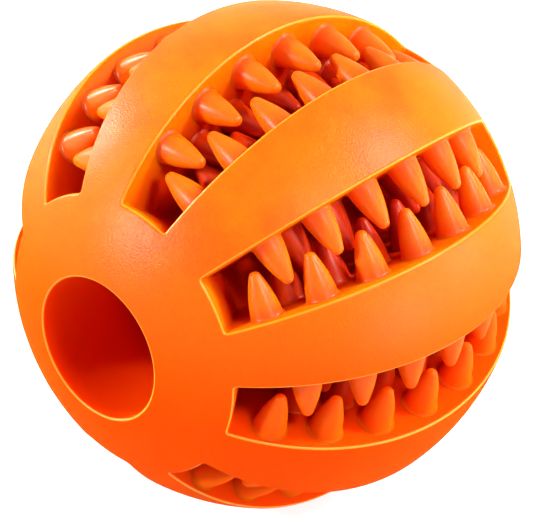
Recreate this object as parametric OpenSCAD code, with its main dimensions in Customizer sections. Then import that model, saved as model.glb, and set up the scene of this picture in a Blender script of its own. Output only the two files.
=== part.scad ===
// Treat dispensing ball: a moulded rubber ball with a hole through its poles and eight
// deep slots round its waist, whose side walls carry two rows of soft pointed teeth.
// Millimetres. The origin is the ball's centre, the axis of the hole runs along Y with the
// front mouth at -Y, and the middle of the first slot faces +Z.

/* [Ball] */
// Outside diameter of the ball
ball_d = 70; // [62:1:90]
// Diameter of the hole through the poles
bore_d = 20.8; // [18:0.2:25]
// Rubber between the hole and the floor of the slots
tube_wall = 4.3; // [3:0.1:4.5]
// Rounding at the two mouths of the hole
mouth_round = 0.5; // [0.3:0.1:1.6]
// Angle between the ball's axis and the ends of the slots
cap_angle = 36.7; // [32:0.1:38]

/* [Slots] */
// Number of slots round the ball
slot_count = 8; // [6:1:9]
// Angle that one slot takes round the axis
slot_angle = 22.2; // [21:0.2:26]
// Rounding of the lips where a slot cuts the surface
lip_round = 0.6; // [0.3:0.1:1.2]

/* [Teeth] */
// Teeth in the outer row on a slot's right wall, as seen from outside with the front down
tooth_count = 7; // [5:1:7]
// Angle from one tooth of a row to the next
tooth_pitch = 14.5; // [13:0.1:14.6]
// How far a tooth stands out of its wall, at the middle of a row
tooth_length = 6.7; // [5:0.1:8]
// Diameter of a tooth just above its root
tooth_d = 4.5; // [3.4:0.1:4.8]
// Radius of a tooth's rounded tip
tooth_tip = 0.92; // [0.6:0.02:1.2]
// Height and reach of the flare that joins a tooth to its wall
tooth_root = 0.3; // [0.2:0.1:0.6]
// Depth of the outer row's middle tooth below the ball's surface, at its centre
outer_depth = 3.9; // [3.25:0.05:4.5]
// Distance from an outer row in to the row behind it
row_gap = 5.3; // [5:0.1:6]
// How much nearer to the surface a row's last teeth sit than its middle one
end_rise = 0.7; // [0:0.1:1]
// How much shorter the last teeth of the longest row are than its middle one
end_trim = 0.2; // [0:0.1:1]

/* [Hidden] */
$fn = 96;
overrun = 1;
ball_r = ball_d / 2;
bore_r = bore_d / 2;
core_r = bore_r + tube_wall;
slot_step = 360 / slot_count;
rib_angle = slot_step - slot_angle;
// Height at which the slots' sloping ends reach the core, which is where the caps start
cap_seat = core_r / tan(cap_angle);
// Angle of the last tooth of the longest row from the waist
row_end = (tooth_count - 1) / 2 * tooth_pitch;

// A slot's four rows: name, which wall it grows from, how many teeth fewer than the
// longest row it has, and how many rows deep it lies.
ROWS = [
    ["right_outer_teeth", 1, 0, 0],
    ["left_outer_teeth", -1, 1, 0],
    ["right_inner_teeth", 1, 1, 1],
    ["left_inner_teeth", -1, 2, 1],
];
function rib_name(k) = str("rib_", k + 1);
function row_name(k, row) = str("slot_", k + 1, "_", row[0]);

// Revolves a section, drawn as distance from the axis and place along it, round the
// ball's axis from one bearing to another. Bearing 0 is +Z, and bearing 90 is +X.
module round_axis(from = 0, turn = 360)
    rotate([0, from, 0])
    rotate([-90, -90, 0])
    rotate_extrude(angle = turn)
    children();

// What a rounding takes off a square corner that points up and to the right
module corner_waste(radius)
    difference() {
        translate([-radius, -radius])
        square(radius + overrun);
        translate([-radius, -radius])
        circle(radius);
    }

// The tube round the hole, which is also the floor of every slot
module core_tube()
    color("orangered")
    round_axis()
    translate([bore_r, -cap_seat])
    square([tube_wall, 2 * cap_seat]);

// Section of a cap: the ball's pole outside the slots' ends, less the hole
module cap_section()
    let (
        reach = ball_r + overrun,
        lip_y = sqrt(pow(ball_r - mouth_round, 2) - pow(bore_r + mouth_round, 2))
    )
    difference() {
        intersection() {
            circle(ball_r);
            polygon([
                [bore_r, cap_seat],
                [core_r, cap_seat],
                [reach * sin(cap_angle), reach * cos(cap_angle)],
                [reach * sin(cap_angle), reach],
                [bore_r, reach],
            ]);
        }
        // rounding of the hole's mouth, tangent to the bore and to the ball
        difference() {
            translate([bore_r - overrun, lip_y])
            square([mouth_round + overrun, reach]);
            translate([bore_r + mouth_round, lip_y])
            circle(mouth_round);
        }
    }

// Rounded lips of a cap, one where it closes the end of each slot
module cap_lips()
    let (
        lip_r = ball_r - lip_round,
        lip_angle = cap_angle - asin(lip_round / lip_r)
    )
    for (k = [0 : slot_count - 1])
        round_axis(k * slot_step - slot_angle / 2, slot_angle)
        translate([lip_r * sin(lip_angle), lip_r * cos(lip_angle)])
        rotate(-cap_angle)
        translate([lip_round, lip_round])
        corner_waste(lip_round);

module front_cap()
    color("darkorange")
    mirror([0, 1, 0])
    rear_cap_solid();

module rear_cap()
    color("darkorange")
    rear_cap_solid();

module rear_cap_solid()
    difference() {
        round_axis()
        cap_section();
        cap_lips();
    }

// Section of a rib, from the core out to the ball's surface and from cap to cap
module rib_section()
    let (reach = ball_r + overrun)
    intersection() {
        circle(ball_r);
        polygon([
            [core_r, -cap_seat],
            [core_r, cap_seat],
            [reach * sin(cap_angle), reach * cos(cap_angle)],
            [reach, reach * cos(cap_angle)],
            [reach, -reach * cos(cap_angle)],
            [reach * sin(cap_angle), -reach * cos(cap_angle)],
        ]);
    }

// Rounded lip along one side of a rib, where its flat wall meets the ball's surface.
// side is 1 for the wall at the far bearing and -1 for the wall at the near one.
module rib_lip(bearing, side)
    rotate([0, bearing, 0])
    rotate([0, side * 90, 0])
    rotate_extrude()
    translate([lip_round + sqrt(pow(ball_r - lip_round, 2) - pow(lip_round, 2)), 0])
    corner_waste(lip_round);

// A rib: one of the broad outer bands between two slots
module rib(k)
    let (from = k * slot_step + slot_angle / 2)
    color("orange")
    difference() {
        round_axis(from, rib_angle)
        rib_section();
        rib_lip(from, -1);
        rib_lip(from + rib_angle, 1);
    }

// One tooth, standing on its root: a flare, a tapered shank and a ball tip tangent to it
module tooth(length)
    let (
        tip_h = length - tooth_tip,
        shank_r = tooth_d / 2,
        slope = atan(shank_r / (tip_h - tooth_root))
            - asin(tooth_tip / norm([shank_r, tip_h - tooth_root]))
    ) {
        cylinder(h = tooth_root, r1 = shank_r + tooth_root, r2 = shank_r);
        translate([0, 0, tooth_root])
        cylinder(
            h = tip_h - tooth_root + tooth_tip * sin(slope),
            r1 = shank_r,
            r2 = tooth_tip * cos(slope)
        );
        translate([0, 0, tip_h])
        sphere(tooth_tip);
    }

// A row of teeth along one wall of a slot. The teeth follow the ball's curve, and stand
// square to their wall, so they point across the slot between the teeth opposite.
module tooth_row(k, row)
    let (
        side = row[1],
        count = tooth_count - row[2],
        seat_r = ball_r - outer_depth - row[3] * row_gap
    )
    color(row[3] == 0 ? "orange" : "orangered")
    rotate([0, k * slot_step + side * slot_angle / 2, 0])
    for (i = [0 : count - 1])
        let (
            turn = (i - (count - 1) / 2) * tooth_pitch,
            end_share = pow(sin(turn) / sin(row_end), 2)
        )
        rotate([turn, 0, 0])
        translate([0, 0, seat_r + end_rise * end_share])
        rotate([0, -side * 90, 0])
        tooth(tooth_length - end_trim * end_share);

core_tube();
front_cap();
rear_cap();
for (k = [0 : slot_count - 1]) {
    rib(k);
    for (row = ROWS)
        tooth_row(k, row);
}
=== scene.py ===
from math import atan2, cos, hypot, pi, radians, sin, sqrt

import bmesh
import bpy
from mathutils import Matrix, Vector


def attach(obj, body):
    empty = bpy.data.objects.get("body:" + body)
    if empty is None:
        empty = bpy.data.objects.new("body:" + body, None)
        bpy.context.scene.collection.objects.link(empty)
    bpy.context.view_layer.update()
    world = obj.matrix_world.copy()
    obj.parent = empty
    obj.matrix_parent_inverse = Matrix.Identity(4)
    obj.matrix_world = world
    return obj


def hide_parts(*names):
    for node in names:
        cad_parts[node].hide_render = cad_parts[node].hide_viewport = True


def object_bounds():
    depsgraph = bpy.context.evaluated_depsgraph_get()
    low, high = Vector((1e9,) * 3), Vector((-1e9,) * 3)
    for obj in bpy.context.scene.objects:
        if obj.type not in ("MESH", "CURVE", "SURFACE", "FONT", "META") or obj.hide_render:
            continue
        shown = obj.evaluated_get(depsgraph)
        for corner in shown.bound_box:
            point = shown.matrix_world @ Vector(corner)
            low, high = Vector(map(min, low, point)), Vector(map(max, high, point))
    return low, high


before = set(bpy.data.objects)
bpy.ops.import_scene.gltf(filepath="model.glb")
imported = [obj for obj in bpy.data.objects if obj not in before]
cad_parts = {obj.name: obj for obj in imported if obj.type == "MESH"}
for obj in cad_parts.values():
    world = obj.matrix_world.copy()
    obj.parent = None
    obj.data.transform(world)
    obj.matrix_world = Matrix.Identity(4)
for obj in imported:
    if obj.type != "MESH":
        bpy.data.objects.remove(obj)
cad_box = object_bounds()


# Camera
# The photograph looks at the ball's front mouth from above and to one side, through a lens
# so long that the ball hardly narrows away from it. Its frame cuts close round the ball.
MM = 0.001
BALL_R = 35 * MM
FRAME_WIDTH, FRAME_HEIGHT = 533, 516
BALL_AT = (267.0, 254.3)
BALL_REACH = 254.5
TOWARDS_CAMERA = Vector((0.483, -0.609, 0.629))
CAMERA_TOP = Vector((-0.513, 0.385, 0.768))
CAMERA_GAP = 60 * BALL_R
SENSOR = 36

camera_data = bpy.data.cameras.new("photo_camera")
camera_data.sensor_width = SENSOR
focal_px = BALL_REACH * sqrt((CAMERA_GAP / BALL_R) ** 2 - 1)
camera_data.lens = focal_px * SENSOR / FRAME_WIDTH
camera_data.shift_x = (FRAME_WIDTH / 2 - BALL_AT[0]) / FRAME_WIDTH
camera_data.shift_y = (BALL_AT[1] - FRAME_HEIGHT / 2) / FRAME_WIDTH
camera_data.clip_end = 100 * CAMERA_GAP
camera = bpy.data.objects.new("photo_camera", camera_data)
camera_back = TOWARDS_CAMERA.normalized()
camera_right = CAMERA_TOP.cross(camera_back).normalized()
camera_up = camera_back.cross(camera_right)
facing = Matrix((camera_right, camera_up, camera_back)).transposed()
camera.matrix_world = Matrix.Translation(camera_back * CAMERA_GAP) @ facing.to_4x4()
bpy.context.collection.objects.link(camera)
bpy.context.scene.camera = camera
bpy.context.scene.view_settings.view_transform = "Standard"


# Ball body
# One moulding in soft orange rubber: the tube round the hole, the closed caps at both poles
# and the eight broad ribs between them. The mould's outer face is finely grained, and the
# slots, which a star of polished blades leaves behind, are smooth.
BORE_R = 10.4 * MM
CORE_R = 14.7 * MM
CAP_ANGLE = radians(36.7)
SLOTS = 8
SLOT_TURN = radians(22.2)
RIB_TURN = 2 * pi / SLOTS - SLOT_TURN
MOUTH_ROUND = 0.5 * MM
LIP_ROUND = 0.6 * MM
CORNER_ROUND = 0.35 * MM
FLOOR_ROUND = 0.3 * MM
BORE_STEPS, MOUTH_STEPS, CAP_STEPS, WAIST_STEPS, TURN_STEPS = 8, 8, 10, 27, 8
LIP_SEGMENTS, CORNER_SEGMENTS, FLOOR_SEGMENTS = 5, 4, 3
MERGE = 0.001 * MM
# How far a measured point may lie from a surface, or a bearing from a wall, and count as on it
ON_FACE = 0.1 * MM
ON_WALL = radians(0.01)
BODY_NODES = ["core_tube", "front_cap", "rear_cap"] + [f"rib_{k + 1}" for k in range(SLOTS)]


def polar(point):
    """Angle between a point and the nearer end of the ball's axis."""
    return atan2(hypot(point.x, point.z), abs(point.y))


def off_slot(point):
    """Angle round the axis between a point and the middle of the nearest slot."""
    step = 2 * pi / SLOTS
    return abs((atan2(point.x, point.z) + step / 2) % step - step / 2)


def from_axis(point):
    return hypot(point.x, point.z)


def half_outline():
    """The moulding's section from the middle of the hole, round the front mouth, to the waist."""
    mouth_z = BORE_R + MOUTH_ROUND
    mouth_y = sqrt((BALL_R - MOUTH_ROUND) ** 2 - mouth_z ** 2)
    mouth_angle = atan2(mouth_z, mouth_y)

    def bore(share):
        return -mouth_y * share, BORE_R

    def mouth(share):
        turn = share * (pi / 2 + mouth_angle)
        return -mouth_y - MOUTH_ROUND * sin(turn), mouth_z - MOUTH_ROUND * cos(turn)

    def cap(share):
        angle = mouth_angle + (CAP_ANGLE - mouth_angle) * share
        return -BALL_R * cos(angle), BALL_R * sin(angle)

    def waist(share):
        angle = CAP_ANGLE + (pi / 2 - CAP_ANGLE) * share
        return -BALL_R * cos(angle), BALL_R * sin(angle)

    runs = ((bore, BORE_STEPS), (mouth, MOUTH_STEPS), (cap, CAP_STEPS), (waist, WAIST_STEPS))
    return [Vector((0, *run(i / steps))) for run, steps in runs for i in range(steps)]


def revolve_body(mesh):
    """Spins the section round the axis, with a seam on each wall of each slot."""
    half = half_outline()
    waist = Vector((0, 0, BALL_R))
    outline = half + [waist] + [Vector((0, -p.y, p.z)) for p in reversed(half[1:])]
    points = [mesh.verts.new(p) for p in outline]
    for i, point in enumerate(points):
        mesh.edges.new((points[i - 1], point))
    first_wall = Matrix.Rotation(-SLOT_TURN / 2, 3, "Y")
    bmesh.ops.rotate(mesh, verts=mesh.verts, cent=(0, 0, 0), matrix=first_wall)
    section = mesh.verts[:] + mesh.edges[:]
    for turn in (SLOT_TURN, RIB_TURN) * SLOTS:
        section = bmesh.ops.spin(
            mesh, geom=section, cent=(0, 0, 0), axis=(0, 1, 0), angle=turn,
            steps=TURN_STEPS, use_merge=False,
        )["geom_last"]
    bmesh.ops.remove_doubles(mesh, verts=mesh.verts, dist=MERGE)


def on_skin(face):
    """Whether a face lies on the ball's outer surface."""
    middle = face.calc_center_median()
    return BALL_R - middle.length < ON_FACE and face.normal.dot(middle) > 0


def on_floor(face):
    """Whether a face lies on the floor of a slot."""
    middle = face.calc_center_median()
    outward = Vector((middle.x, 0, middle.z))
    return abs(from_axis(middle) - CORE_R) < ON_FACE and face.normal.dot(outward) > CORE_R / 2


def sink_slots(mesh):
    """Pushes the slots' part of the surface in to the core, straight towards the centre."""
    tops = [
        face for face in mesh.faces
        if on_skin(face)
        and polar(face.calc_center_median()) > CAP_ANGLE
        and off_slot(face.calc_center_median()) < SLOT_TURN / 2
    ]
    pushed = bmesh.ops.extrude_face_region(mesh, geom=tops)["geom"]
    bmesh.ops.delete(mesh, geom=tops, context="FACES")
    for point in pushed:
        if isinstance(point, bmesh.types.BMVert):
            point.co *= CORE_R / from_axis(point.co)
    bmesh.ops.recalc_face_normals(mesh, faces=mesh.faces)


def at_slot_corner(point):
    off_wall = abs(off_slot(point) - SLOT_TURN / 2)
    return abs(polar(point) - CAP_ANGLE) < ON_WALL and off_wall < ON_WALL


def round_edges(mesh, edges, radius, segments):
    bmesh.ops.bevel(
        mesh, geom=edges, offset=radius, offset_type="OFFSET", segments=segments, profile=0.5,
        affect="EDGES", clamp_overlap=False, material=-1,
    )


def round_slot_corners(mesh):
    """Rounds the upright corners of each slot, whose tops first lose the grid lines beyond."""
    uprights = [
        edge for edge in mesh.edges
        if all(at_slot_corner(point.co) for point in edge.verts)
        and from_axis(edge.verts[0].co) != from_axis(edge.verts[1].co)
        and min(from_axis(point.co) for point in edge.verts) < CORE_R + ON_FACE
    ]
    beyond = [
        edge for upright in uprights
        for edge in max(upright.verts, key=lambda point: point.co.length).link_edges
        if all(on_skin(face) for face in edge.link_faces)
    ]
    bmesh.ops.dissolve_edges(mesh, edges=beyond, use_verts=False, use_face_split=False)
    round_edges(mesh, uprights, CORNER_ROUND, CORNER_SEGMENTS)
    bmesh.ops.recalc_face_normals(mesh, faces=mesh.faces)


def rim_of(mesh, is_inside, nearness):
    """The edges where a kind of face ends against a wall."""
    return [
        edge for edge in mesh.edges
        if is_inside(edge.link_faces[0]) != is_inside(edge.link_faces[1])
        and all(nearness(point.co) < ON_FACE for point in edge.verts)
        and all(off_slot(point.co) < SLOT_TURN / 2 + ON_WALL for point in edge.verts)
        and all(polar(point.co) > CAP_ANGLE - ON_WALL for point in edge.verts)
    ]


def as_piece(name, mesh, material):
    """Turns a finished bmesh into an object with smooth shading and closed, outward faces."""
    bmesh.ops.recalc_face_normals(mesh, faces=mesh.faces)
    data = bpy.data.meshes.new(name)
    mesh.to_mesh(data)
    mesh.free()
    data.shade_smooth()
    data.materials.append(material)
    piece = bpy.data.objects.new(name, data)
    bpy.context.collection.objects.link(piece)
    return piece


def new_group(name, inputs, outputs):
    """An empty shader group with named sockets, its nodes, and its input and output nodes."""
    group = bpy.data.node_groups.new(name, "ShaderNodeTree")
    for label, kind, value in inputs:
        socket = group.interface.new_socket(label, in_out="INPUT", socket_type=kind)
        if value is not None:
            socket.default_value = value
    for label, kind in outputs:
        group.interface.new_socket(label, in_out="OUTPUT", socket_type=kind)
    return group, group.nodes.new("NodeGroupInput"), group.nodes.new("NodeGroupOutput")


def feed(tree, socket, value):
    """Links a socket to another node's output, or sets it to a plain value."""
    if isinstance(value, bpy.types.NodeSocket):
        tree.links.new(value, socket)
    else:
        socket.default_value = value


def noise(tree, vector, scale, detail):
    node = tree.nodes.new("ShaderNodeTexNoise")
    node.inputs["Scale"].default_value = scale
    node.inputs["Detail"].default_value = detail
    tree.links.new(vector, node.inputs["Vector"])
    return node.outputs["Fac"]


def remap(tree, value, low, high, new_low, new_high):
    node = tree.nodes.new("ShaderNodeMapRange")
    node.interpolation_type = "SMOOTHSTEP"
    for socket, number in zip(node.inputs, (value, low, high, new_low, new_high)):
        feed(tree, socket, number)
    return node.outputs["Result"]


def mix_colours(tree, share, first, second):
    node = tree.nodes.new("ShaderNodeMix")
    node.data_type = "RGBA"
    for name, value in (("Factor", share), ("A", first), ("B", second)):
        feed(tree, node.inputs[name], value)
    return node.outputs["Result"]


def axes_of(tree, vector):
    node = tree.nodes.new("ShaderNodeSeparateXYZ")
    tree.links.new(vector, node.inputs["Vector"])
    return node.outputs


def length_of(tree, vector):
    node = tree.nodes.new("ShaderNodeVectorMath")
    node.operation = "LENGTH"
    tree.links.new(vector, node.inputs[0])
    return node.outputs["Value"]


def arithmetic(tree, operation, first, second):
    node = tree.nodes.new("ShaderNodeMath")
    node.operation = operation
    for socket, value in zip(node.inputs, (first, second)):
        feed(tree, socket, value)
    return node.outputs["Value"]


# The rubber's colour: slow clouds that vary at random, a painted shade that reddens the underside,
# and painted shade with painted red bounce light down in the slots and the hole, a deeper red
CLOUD_SCALE = 90
CLOUD_DETAIL = 3
CLOUD_EDGES = (0.35, 0.7)
CLOUD_SHARE = 0.45
# Heights between which the painted shade of the redder underside fades in
UNDERSIDE = (-8 * MM, 28 * MM)
# How far out of the hole's wall its painted shade starts to fade, and where it ends
HOLE_SHADE_FADE = (0.02 * MM, 0.35 * MM)
BLOOM_SCALE = 700
BLOOM_DETAIL = 2
BLOOM_EDGES = (0.3, 0.7)
tone_group, tone_in, tone_out = new_group(
    "rubber_tone_and_shade",
    [("Vector", "NodeSocketVector", None), ("Colour", "NodeSocketColor", None),
     ("Underside Shade", "NodeSocketColor", None), ("Slot Shade", "NodeSocketColor", None),
     ("Hole Shade", "NodeSocketColor", None), ("Red Depth", "NodeSocketFloat", None),
     ("Orange Depth", "NodeSocketFloat", None)],
    [("Colour", "NodeSocketColor"), ("Bloom", "NodeSocketFloat")],
)
spot = tone_in.outputs["Vector"]
clouds = remap(
    tone_group, noise(tone_group, spot, CLOUD_SCALE, CLOUD_DETAIL), *CLOUD_EDGES, 0, CLOUD_SHARE,
)
height = axes_of(tone_group, spot)["Z"]
# Painted shade on the underside, taken together with the clouds' random tone
clouds_and_underside_shade = arithmetic(
    tone_group, "MAXIMUM", clouds, remap(tone_group, height, *UNDERSIDE, 1, 0),
)
sideways = tone_group.nodes.new("ShaderNodeVectorMath")
sideways.operation = "MULTIPLY"
sideways.inputs[1].default_value = (1, 0, 1)
tone_group.links.new(spot, sideways.inputs[0])
depth = arithmetic(tone_group, "SUBTRACT", BALL_R, length_of(tone_group, spot))
# Painted shade: the colour turns to the slot's darker red with depth below the surface
slot_shade = remap(
    tone_group, depth, tone_in.outputs["Orange Depth"], tone_in.outputs["Red Depth"], 0, 1,
)
hole_shade = remap(
    tone_group, length_of(tone_group, sideways.outputs["Vector"]),
    *(BORE_R + gap for gap in HOLE_SHADE_FADE), 1, 0,
)
# Painted shade: the underside, the slots and the hole are mixed over the clouds' colour
pigment_and_shade = mix_colours(tone_group, clouds_and_underside_shade, tone_in.outputs["Colour"], tone_in.outputs["Underside Shade"])
pigment_and_shade = mix_colours(tone_group, slot_shade, pigment_and_shade, tone_in.outputs["Slot Shade"])
pigment_and_shade = mix_colours(tone_group, hole_shade, pigment_and_shade, tone_in.outputs["Hole Shade"])
tone_group.links.new(pigment_and_shade, tone_out.inputs["Colour"])
bloom = noise(tone_group, spot, BLOOM_SCALE, BLOOM_DETAIL)
tone_group.links.new(remap(tone_group, bloom, *BLOOM_EDGES, 0, 1), tone_out.inputs["Bloom"])

ORANGE = (0.98, 0.187, 0.0012, 1)
# Painted shade: the redder orange of the ball's underside
UNDERSIDE_SHADE_ORANGE = (1.0, 0.070, 0.0008, 1)
# Painted shade: the darker red deep in the slots, and the depths over which it sets in
WALL_SHADE_RED = (0.60, 0.014, 0.0003, 1)
WALL_SHADE_DEPTHS = (0.8 * MM, 7.5 * MM)
SSS_WEIGHT = 0.7
SSS_RADIUS = (1.0, 0.10, 0.03)
RUBBER_IOR = 1.5
SPECULAR_LEVEL = 0


def new_rubber(name, sss_reach, coat_roughness, slot_shade_red, orange_depth, red_depth):
    """A rubber material with its colours and painted shade, its tree, its shader, its tone group
    and its place.
    """
    material = bpy.data.materials.new(name)
    material.use_nodes = True
    tree = material.node_tree
    shader = tree.nodes["Principled BSDF"]
    shader.inputs["IOR"].default_value = RUBBER_IOR
    shader.inputs["Specular IOR Level"].default_value = SPECULAR_LEVEL
    shader.inputs["Coat Roughness"].default_value = coat_roughness
    shader.inputs["Subsurface Weight"].default_value = SSS_WEIGHT
    shader.inputs["Subsurface Scale"].default_value = sss_reach
    shader.inputs["Subsurface Radius"].default_value = SSS_RADIUS
    place = tree.nodes.new("ShaderNodeTexCoord").outputs["Object"]
    tone = tree.nodes.new("ShaderNodeGroup")
    tone.node_tree = tone_group
    tone.inputs["Colour"].default_value = ORANGE
    tone.inputs["Underside Shade"].default_value = UNDERSIDE_SHADE_ORANGE
    tone.inputs["Slot Shade"].default_value = slot_shade_red
    tone.inputs["Orange Depth"].default_value = orange_depth
    tone.inputs["Red Depth"].default_value = red_depth
    tree.links.new(place, tone.inputs["Vector"])
    return material, tree, shader, tone, place


SKIN_ROUGHNESS = (0.40, 0.47)
SMOOTH_ROUGHNESS = (0.28, 0.33)
# Painted highlight: the bright yellow along the rounded lips
LIP_HIGHLIGHT_YELLOW = (1.0, 0.32, 0.006, 1)
# Painted shade: the red of the hole's wall, darker deeper in, and the depths between
HOLE_SHADE_RED = (1.0, 0.055, 0.0006, 1)
HOLE_DEEP_SHADE_RED = (0.40, 0.008, 0.0002, 1)
HOLE_SHADE_DEPTHS = (10 * MM, 24 * MM)
BODY_SSS = 2.5 * MM
BODY_GLOSS = 0.28
SLOT_COAT = 0.01
LIP_COAT = 0.6
# The outer surface's gloss, which fades towards the dull underside
SKIN_COATS = (0.03, 0.30)
SKIN_COAT_HEIGHTS = (0, 20 * MM)
# Depths below the ball's surface between which the grain sets in, and the painted yellow
# highlight on the lips starts and stops
GRAIN_BAND = (0.5 * MM, 0.1 * MM)
LIP_START = (0.36 * MM, 0.20 * MM)
LIP_STOP = (0.10 * MM, 0.04 * MM)
GRAIN_SCALE, GRAIN_DETAIL = 5000, 2
PEBBLE_SCALE, PEBBLE_DETAIL = 3800, 1
GRAIN_HEIGHT = 0.042 * MM
# Painted shade in the grain's pits, darker where the pores catch shade: where it sets in and how
# strong
PIT_SHADE_EDGES = (0.35, 0.5)
PIT_SHADE_SHARE = 0.2


def moulded_skin():
    """Grained and satin on the ball's outer surface, smooth inside the slots and the hole."""
    material, tree, shader, tone, place = new_rubber(
        "moulded_rubber", BODY_SSS, BODY_GLOSS, WALL_SHADE_RED, *WALL_SHADE_DEPTHS,
    )
    reach = length_of(tree, place)

    def band(depths, low, high):
        return remap(tree, reach, *(BALL_R - depth for depth in depths), low, high)

    skin = band(GRAIN_BAND, 0, 1)
    # The lips carry a painted yellow highlight and a real glossy coat
    lip = arithmetic(tree, "MULTIPLY", band(LIP_START, 0, 1), band(LIP_STOP, 1, 0))
    grain = noise(tree, place, GRAIN_SCALE, GRAIN_DETAIL)
    # Painted shade: the grain's pits take the darker underside orange
    shaded_pits = arithmetic(tree, "MULTIPLY", skin, remap(tree, grain, *PIT_SHADE_EDGES, PIT_SHADE_SHARE, 0))
    pigment_and_shade = mix_colours(tree, shaded_pits, tone.outputs["Colour"], UNDERSIDE_SHADE_ORANGE)
    tree.links.new(mix_colours(tree, lip, pigment_and_shade, LIP_HIGHLIGHT_YELLOW), shader.inputs["Base Color"])
    # Painted shade in the hole: its red darkens deeper in along the axis
    where = axes_of(tree, place)
    along = arithmetic(tree, "ABSOLUTE", where["Y"], 0)
    deep = remap(tree, along, *HOLE_SHADE_DEPTHS, 1, 0)
    tree.links.new(mix_colours(tree, deep, HOLE_SHADE_RED, HOLE_DEEP_SHADE_RED), tone.inputs["Hole Shade"])
    skin_coat = remap(tree, where["Z"], *SKIN_COAT_HEIGHTS, *SKIN_COATS)
    coat = arithmetic(
        tree, "MAXIMUM",
        remap(tree, skin, 0, 1, SLOT_COAT, skin_coat), remap(tree, lip, 0, 1, 0, LIP_COAT),
    )
    tree.links.new(coat, shader.inputs["Coat Weight"])

    relief = arithmetic(tree, "ADD", grain, noise(tree, place, PEBBLE_SCALE, PEBBLE_DETAIL))
    bump = tree.nodes.new("ShaderNodeBump")
    bump.inputs["Distance"].default_value = GRAIN_HEIGHT
    tree.links.new(arithmetic(tree, "MULTIPLY", relief, skin), bump.inputs["Height"])
    tree.links.new(bump.outputs["Normal"], shader.inputs["Normal"])
    tree.links.new(bump.outputs["Normal"], shader.inputs["Coat Normal"])

    satin = remap(tree, tone.outputs["Bloom"], 0, 1, *SKIN_ROUGHNESS)
    gloss = remap(tree, tone.outputs["Bloom"], 0, 1, *SMOOTH_ROUGHNESS)
    finish = tree.nodes.new("ShaderNodeMix")
    tree.links.new(skin, finish.inputs["Factor"])
    tree.links.new(gloss, finish.inputs["A"])
    tree.links.new(satin, finish.inputs["B"])
    tree.links.new(finish.outputs["Result"], shader.inputs["Roughness"])
    return material


# How much more the ball's broad faces count in the shading than the rounded edges between
EVEN_WEIGHT = 80
body_mesh = bmesh.new()
revolve_body(body_mesh)
bmesh.ops.recalc_face_normals(body_mesh, faces=body_mesh.faces)
sink_slots(body_mesh)
round_slot_corners(body_mesh)
floor_rims = rim_of(body_mesh, on_floor, lambda point: abs(from_axis(point) - CORE_R))
lips = rim_of(body_mesh, on_skin, lambda point: BALL_R - point.length)
round_edges(body_mesh, floor_rims, FLOOR_ROUND, FLOOR_SEGMENTS)
round_edges(body_mesh, lips, LIP_ROUND, LIP_SEGMENTS)
ball_body = as_piece("ball_body", body_mesh, moulded_skin())
even = ball_body.modifiers.new("even_shading", "WEIGHTED_NORMAL")
even.mode = "FACE_AREA"
even.weight = EVEN_WEIGHT
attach(ball_body, "root")
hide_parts(*BODY_NODES)


# Teeth
# Soft pointed cones of the same rubber, moulded in one with the walls of the slots. Each
# wall has an outer row just under the surface and an inner row behind its gaps, and the
# two walls' teeth point past each other to hold the treats in.
TOOTH_PITCH = radians(14.5)
TOOTH_COUNT = 7
TOOTH_LENGTH = 6.7 * MM
TOOTH_R = 2.25 * MM
TIP_R = 0.92 * MM
ROOT_FILLET = 0.4 * MM
TOOTH_BULGE = 0.2 * MM
TOOTH_SUNK = 0.3 * MM
OUTER_DEPTH = 3.9 * MM
ROW_GAP = 5.3 * MM
END_RISE = 0.7 * MM
END_TRIM = 0.2 * MM
TOOTH_SIDES = 30
FILLET_STEPS, SHANK_STEPS, TIP_STEPS = 3, 6, 5
# Row, side of the slot, teeth fewer than the longest row, rows in from the surface
ROWS = (
    ("right_outer", 1, 0, 0),
    ("left_outer", -1, 1, 0),
    ("right_inner", 1, 1, 1),
    ("left_inner", -1, 2, 1),
)


def tooth_outline(length):
    """A tooth's side, from inside its wall to its tip: fillet, bulging shank, ball end."""
    tip_h = length - TIP_R
    lean = atan2(TOOTH_R - TIP_R, tip_h - ROOT_FILLET)
    shank_top = Vector((TIP_R * cos(lean), 0, tip_h + TIP_R * sin(lean)))
    shank_foot = Vector((TOOTH_R, 0, ROOT_FILLET))
    outline = [Vector((TOOTH_R + ROOT_FILLET, 0, -TOOTH_SUNK))]
    for i in range(FILLET_STEPS):
        turn = pi / 2 * i / FILLET_STEPS
        outline.append(Vector((
            TOOTH_R + ROOT_FILLET * (1 - sin(turn)), 0, ROOT_FILLET * (1 - cos(turn)),
        )))
    outward = Vector((cos(lean), 0, sin(lean)))
    for i in range(SHANK_STEPS):
        share = i / SHANK_STEPS
        outline.append(shank_foot.lerp(shank_top, share) + outward * TOOTH_BULGE * sin(pi * share))
    for i in range(TIP_STEPS + 1):
        turn = lean + (pi / 2 - lean) * i / TIP_STEPS
        outline.append(Vector((TIP_R * cos(turn), 0, tip_h + TIP_R * sin(turn))))
    return outline


def tooth_mesh(length):
    mesh = bmesh.new()
    points = [mesh.verts.new(p) for p in tooth_outline(length)]
    points.insert(0, mesh.verts.new((0, 0, -TOOTH_SUNK)))
    for first, second in zip(points, points[1:]):
        mesh.edges.new((first, second))
    bmesh.ops.spin(
        mesh, geom=mesh.verts[:] + mesh.edges[:], cent=(0, 0, 0), axis=(0, 0, 1),
        angle=2 * pi, steps=TOOTH_SIDES, use_merge=True,
    )
    bmesh.ops.remove_doubles(mesh, verts=mesh.verts, dist=MERGE)
    data = bpy.data.meshes.new("tooth")
    mesh.to_mesh(data)
    mesh.free()
    return data


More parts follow.
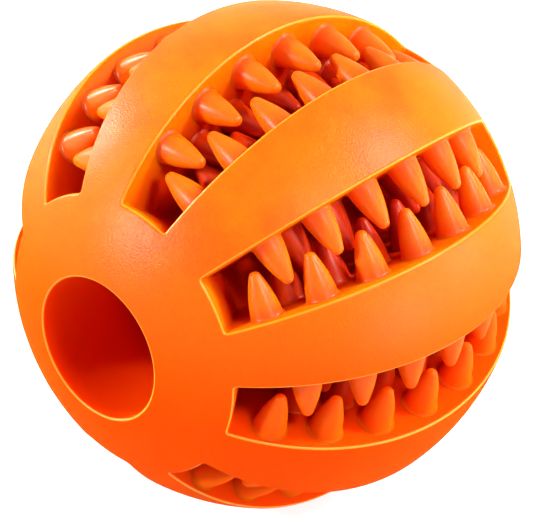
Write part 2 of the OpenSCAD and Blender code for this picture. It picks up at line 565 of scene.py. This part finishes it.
def tooth_row(bearing, side, fewer, deep):
    """One wall's row: the teeth follow the ball's curve and stand square to the wall."""
    row = bmesh.new()
    count = TOOTH_COUNT - fewer
    longest_end = sin((TOOTH_COUNT - 1) / 2 * TOOTH_PITCH)
    for i in range(count):
        turn = (i - (count - 1) / 2) * TOOTH_PITCH
        end_share = (sin(turn) / longest_end) ** 2
        seat = BALL_R - OUTER_DEPTH - deep * ROW_GAP + END_RISE * end_share
        tooth = tooth_mesh(TOOTH_LENGTH - END_TRIM * end_share)
        tooth.transform(
            Matrix.Rotation(bearing + side * SLOT_TURN / 2, 4, "Y")
            @ Matrix.Rotation(turn, 4, "X")
            @ Matrix.Translation((0, 0, seat))
            @ Matrix.Rotation(-side * pi / 2, 4, "Y")
        )
        row.from_mesh(tooth)
        bpy.data.meshes.remove(tooth)
    return row


TOOTH_SSS = 1.5 * MM
TOOTH_GLOSS = 0.34
TOOTH_COATS = (0.06, 0.5)
TOOTH_COAT_HEIGHTS = (-8 * MM, 14 * MM)
TOOTH_ORANGE = (1.0, 0.170, 0.0006, 1)
# Painted shade: the teeth's redder underside
TOOTH_UNDERSIDE_SHADE = (1.0, 0.100, 0.0006, 1)
# Painted shade: the inner teeth, deeper in the slots, turn darker red over these depths
TOOTH_SHADE_RED = (0.52, 0.014, 0.0002, 1)
TOOTH_SHADE_DEPTHS = (3.8 * MM, 8.5 * MM)
# Painted shade at the roots, redder by how far round the axis they lie from the middle of their
# slot
ROOT_SHADE_ORANGE = (1.0, 0.100, 0.0006, 1)
ROOT_SHADE_BEARINGS = (radians(5), radians(11.5))


def moulded_tooth():
    """The smooth rubber of the teeth, with painted shade that reddens the roots, and glossier than
    their walls.
    """
    material, tree, shader, tone, place = new_rubber(
        "tooth_rubber", TOOTH_SSS, TOOTH_GLOSS, TOOTH_SHADE_RED, *TOOTH_SHADE_DEPTHS,
    )
    where = axes_of(tree, place)
    coat = remap(tree, where["Z"], *TOOTH_COAT_HEIGHTS, *TOOTH_COATS)
    tree.links.new(coat, shader.inputs["Coat Weight"])
    # Painted shade: the colour reddens towards the roots by the slot's walls
    bearing = arithmetic(tree, "ARCTAN2", where["X"], where["Z"])
    root = remap(tree, arithmetic(tree, "PINGPONG", bearing, pi / SLOTS), *ROOT_SHADE_BEARINGS, 0, 1)
    tree.links.new(mix_colours(tree, root, TOOTH_ORANGE, ROOT_SHADE_ORANGE), tone.inputs["Colour"])
    tone.inputs["Underside Shade"].default_value = TOOTH_UNDERSIDE_SHADE
    tree.links.new(tone.outputs["Colour"], shader.inputs["Base Color"])
    gloss = remap(tree, tone.outputs["Bloom"], 0, 1, *SMOOTH_ROUGHNESS)
    tree.links.new(gloss, shader.inputs["Roughness"])
    return material


tooth_rubber = moulded_tooth()
for k in range(SLOTS):
    for row_name, side, fewer, deep in ROWS:
        row = tooth_row(k * 2 * pi / SLOTS, side, fewer, deep)
        teeth = as_piece(f"teeth_{k + 1}_{row_name}", row, tooth_rubber)
        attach(teeth, "root")
        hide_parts(f"slot_{k + 1}_{row_name}_teeth")


# Floor
# A wide white sheet that the ball rests on. It shows white to the camera and in reflections,
# and takes the ball's shadow as any matt floor does.
FLOOR_HALF = 60 * BALL_R
FLOOR_COLOUR = (0.6, 0.6, 0.6, 1)
FLOOR_GLOW = 0.86


def white_where_seen(tree, plain, white):
    """Shows one shader to the camera, in reflections and through glass, another to the light."""
    path = tree.nodes.new("ShaderNodeLightPath")
    seen = path.outputs["Is Camera Ray"]
    for ray in ("Is Glossy Ray", "Is Transmission Ray"):
        either = tree.nodes.new("ShaderNodeMath")
        either.operation = "MAXIMUM"
        tree.links.new(seen, either.inputs[0])
        tree.links.new(path.outputs[ray], either.inputs[1])
        seen = either.outputs["Value"]
    choice = tree.nodes.new("ShaderNodeMixShader")
    tree.links.new(seen, choice.inputs[0])
    tree.links.new(plain, choice.inputs[1])
    tree.links.new(white, choice.inputs[2])
    return choice.outputs["Shader"]


def floor_paper():
    material = bpy.data.materials.new("white_sheet")
    material.use_nodes = True
    tree = material.node_tree
    shader = tree.nodes["Principled BSDF"]
    shader.inputs["Base Color"].default_value = FLOOR_COLOUR
    shader.inputs["Roughness"].default_value = 1
    shader.inputs["Specular IOR Level"].default_value = 0
    glow = tree.nodes.new("ShaderNodeEmission")
    glow.inputs["Strength"].default_value = FLOOR_GLOW
    both = tree.nodes.new("ShaderNodeAddShader")
    tree.links.new(shader.outputs["BSDF"], both.inputs[0])
    tree.links.new(glow.outputs["Emission"], both.inputs[1])
    tree.links.new(
        white_where_seen(tree, shader.outputs["BSDF"], both.outputs["Shader"]),
        tree.nodes["Material Output"].inputs["Surface"],
    )
    return material


floor_mesh = bmesh.new()
bmesh.ops.create_grid(
    floor_mesh, x_segments=1, y_segments=1, size=FLOOR_HALF,
    matrix=Matrix.Translation((0, 0, cad_box[0][2])),
)
floor = as_piece("floor", floor_mesh, floor_paper())


# Light
# A plain white studio: one softbox over the camera's right shoulder, one high on the far
# right, two low ones that skim the ball from the right and the left, one in front of the
# hole and a weak wide one at the lower right, in a room with a little light all round.
WORLD_LEVEL = 0.12
LAMP_GAP = 0.8


def softbox(name, bearing, rise, width, height, radiance):
    """A rectangular lamp of an even brightness that faces the ball."""
    lamp = bpy.data.lights.new(name, "AREA")
    lamp.shape = "RECTANGLE"
    lamp.size, lamp.size_y = width, height
    lamp.energy = radiance * pi * width * height
    where = Vector((
        cos(radians(rise)) * cos(radians(bearing)), cos(radians(rise)) * sin(radians(bearing)),
        sin(radians(rise)),
    ))
    thing = bpy.data.objects.new(name, lamp)
    thing.matrix_world = (
        Matrix.Translation(where * LAMP_GAP) @ where.to_track_quat("Z", "Y").to_matrix().to_4x4()
    )
    bpy.context.collection.objects.link(thing)


softbox("near_softbox", 354, 51, 0.16, 0.16, 43)
softbox("high_softbox", 57, 47, 0.10, 0.10, 192)
softbox("right_softbox", 50, 3, 0.22, 0.28, 12)
softbox("low_right_softbox", 15, 1, 0.30, 0.14, 19)
softbox("left_softbox", 186, 6, 0.12, 0.12, 152)
softbox("front_softbox", 240, 19, 0.10, 0.10, 195)

world = bpy.data.worlds.new("studio")
world.use_nodes = True
bpy.context.scene.world = world
plain_sky = world.node_tree.nodes["Background"]
plain_sky.inputs["Color"].default_value = (1, 1, 1, 1)
plain_sky.inputs["Strength"].default_value = WORLD_LEVEL
white_sky = world.node_tree.nodes.new("ShaderNodeBackground")
white_sky.inputs["Color"].default_value = (1, 1, 1, 1)
white_sky.inputs["Strength"].default_value = 1
world.node_tree.links.new(
    white_where_seen(
        world.node_tree, plain_sky.outputs["Background"], white_sky.outputs["Background"],
    ),
    world.node_tree.nodes["World Output"].inputs["Surface"],
)
